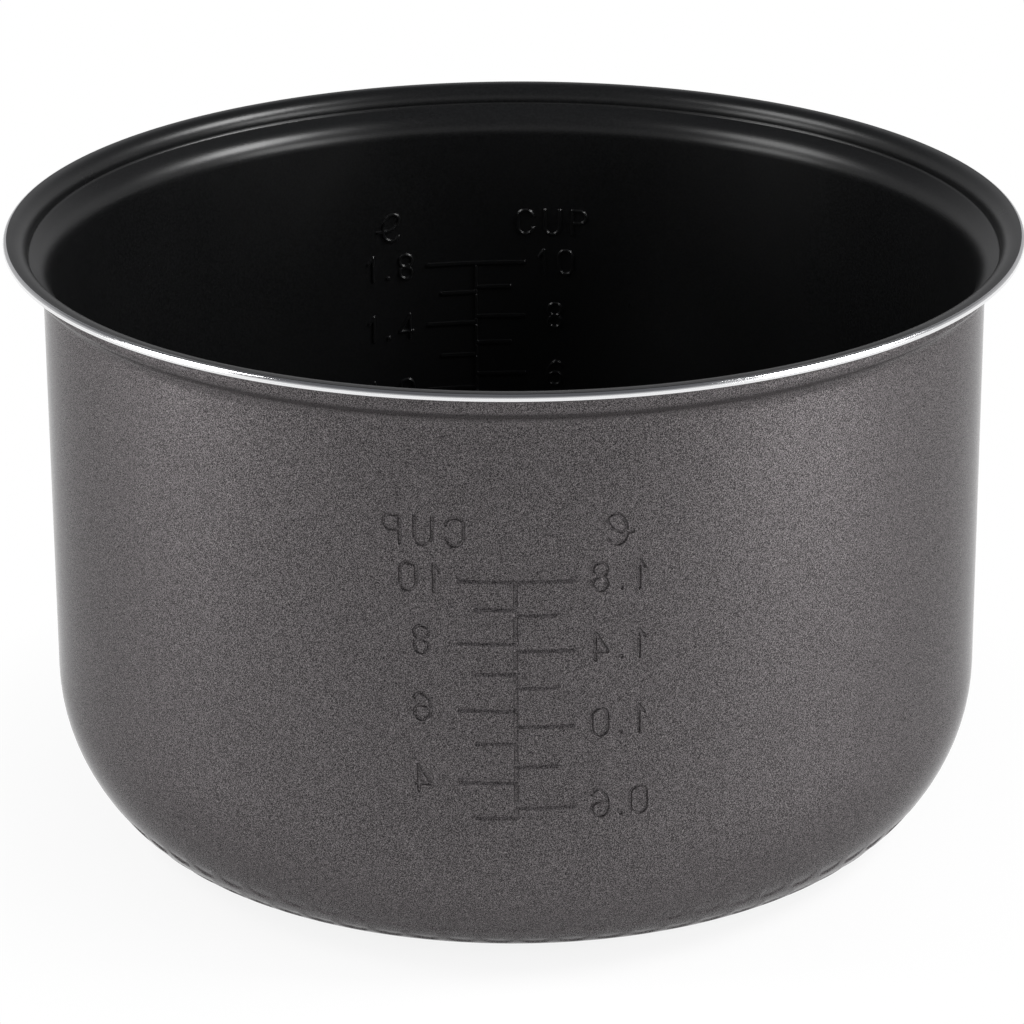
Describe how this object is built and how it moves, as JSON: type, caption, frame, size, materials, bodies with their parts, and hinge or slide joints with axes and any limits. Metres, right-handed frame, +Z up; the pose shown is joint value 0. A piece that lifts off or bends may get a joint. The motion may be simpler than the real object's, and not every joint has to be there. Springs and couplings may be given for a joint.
{
  "type": "rice cooker inner pot",
  "caption": "Round drawn aluminium inner pot of a rice cooker, black non-stick inside and grey outside, with a flanged rim, a ledge in its mouth and a stamped water scale.",
  "frame": {"origin": "centre of the base's underside, where the pot stands on the heater plate", "axes": "+Z up along the pot's axis, -Y towards the first water scale"},
  "size_m": [0.24, 0.24, 0.1451],
  "materials": {
    "bare_aluminium": "turned and polished at the rim, satin at the base",
    "black_nonstick": "satin non-stick",
    "grey_coating": "fine metallic speckle, satin"
  },
  "bodies": {
    "root": {"pot_shell": "bare_aluminium", "inner_nonstick_coating": "black_nonstick", "outer_coating": "grey_coating"}
  },
  "joints": []
}
